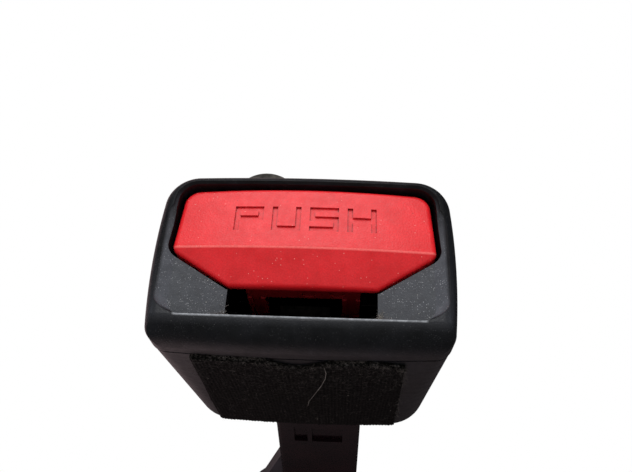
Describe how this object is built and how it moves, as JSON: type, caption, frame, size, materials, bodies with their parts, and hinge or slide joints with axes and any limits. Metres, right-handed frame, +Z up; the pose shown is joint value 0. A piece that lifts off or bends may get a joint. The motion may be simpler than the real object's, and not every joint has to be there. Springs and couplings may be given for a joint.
{
  "type": "seat belt buckle",
  "caption": "Seat belt buckle on a rigid strap stalk, with an end push button, tongue slot, latch, ejector and an eye for the anchor bolt.",
  "frame": {"origin": "centre of the anchor bolt hole in the stalk's eye", "axes": "+Z up the stalk towards the end that takes the tongue, +Y along the anchor bolt from the felt side to the back, +X across the buckle"},
  "size_m": [0.0548, 0.0446, 0.1282],
  "materials": {
    "housing": "fine moulded grain",
    "button_red": "satin moulded",
    "felt": "knitted loop pile",
    "pad_rubber": "dusty matt",
    "inner_plastic": "as moulded",
    "sleeve_plastic": "gloss",
    "dark_steel": "phosphated",
    "zinc_steel": "zinc plated",
    "spring_steel": "drawn wire",
    "strap_steel": "dark coat"
  },
  "bodies": {
    "housing": {"bezel_cap": "housing", "front_shell": "housing", "back_shell": "housing", "shell_screws": "zinc_steel", "felt_patch": "felt", "rear_pad": "pad_rubber", "button_springs": "spring_steel", "latch_pivot_pin": "zinc_steel", "pin_clip": "spring_steel", "latch_spring": "spring_steel", "ejector_spring": "spring_steel", "spring_seat": "inner_plastic", "tongue_guides": "inner_plastic", "buckle_frame": "dark_steel", "frame_rivets": "zinc_steel", "anchor_strap": "strap_steel", "strap_sleeve": "sleeve_plastic"},
    "button": {"release_button": "button_red"},
    "lock_bar": {"lock_bar": "zinc_steel"},
    "latch": {"latch": "dark_steel"},
    "ejector": {"ejector": "inner_plastic"}
  },
  "joints": [
    {"name": "button_press", "type": "slide", "parent": "housing", "child": "button", "axis": [0, 0, -1], "range_m": [0, 0.0045], "stiffness_N_per_m": 900, "springref_m": -0.004, "deforming": ["button_springs"]},
    {"name": "ejector_slide", "type": "slide", "parent": "housing", "child": "ejector", "axis": [0, 0, -1], "range_m": [0, 0.012], "stiffness_N_per_m": 500, "springref_m": -0.008, "deforming": ["ejector_spring"]},
    {"name": "latch_swing", "type": "hinge", "parent": "housing", "child": "latch", "pos_m": [0, 0.01782, 0.0722], "axis": [1, 0, 0], "range_deg": [0, 15]},
    {"name": "lock_bar_slide", "type": "slide", "parent": "button", "child": "lock_bar", "axis": [0, 0, 1], "range_m": [0, 0.0045]}
  ],
  "couplings": [
    {"joint": "latch_swing", "follows": "ejector_slide", "rad_per_m": 21.817},
    {"joint": "lock_bar_slide", "follows": "ejector_slide", "ratio": 0.375}
  ]
}
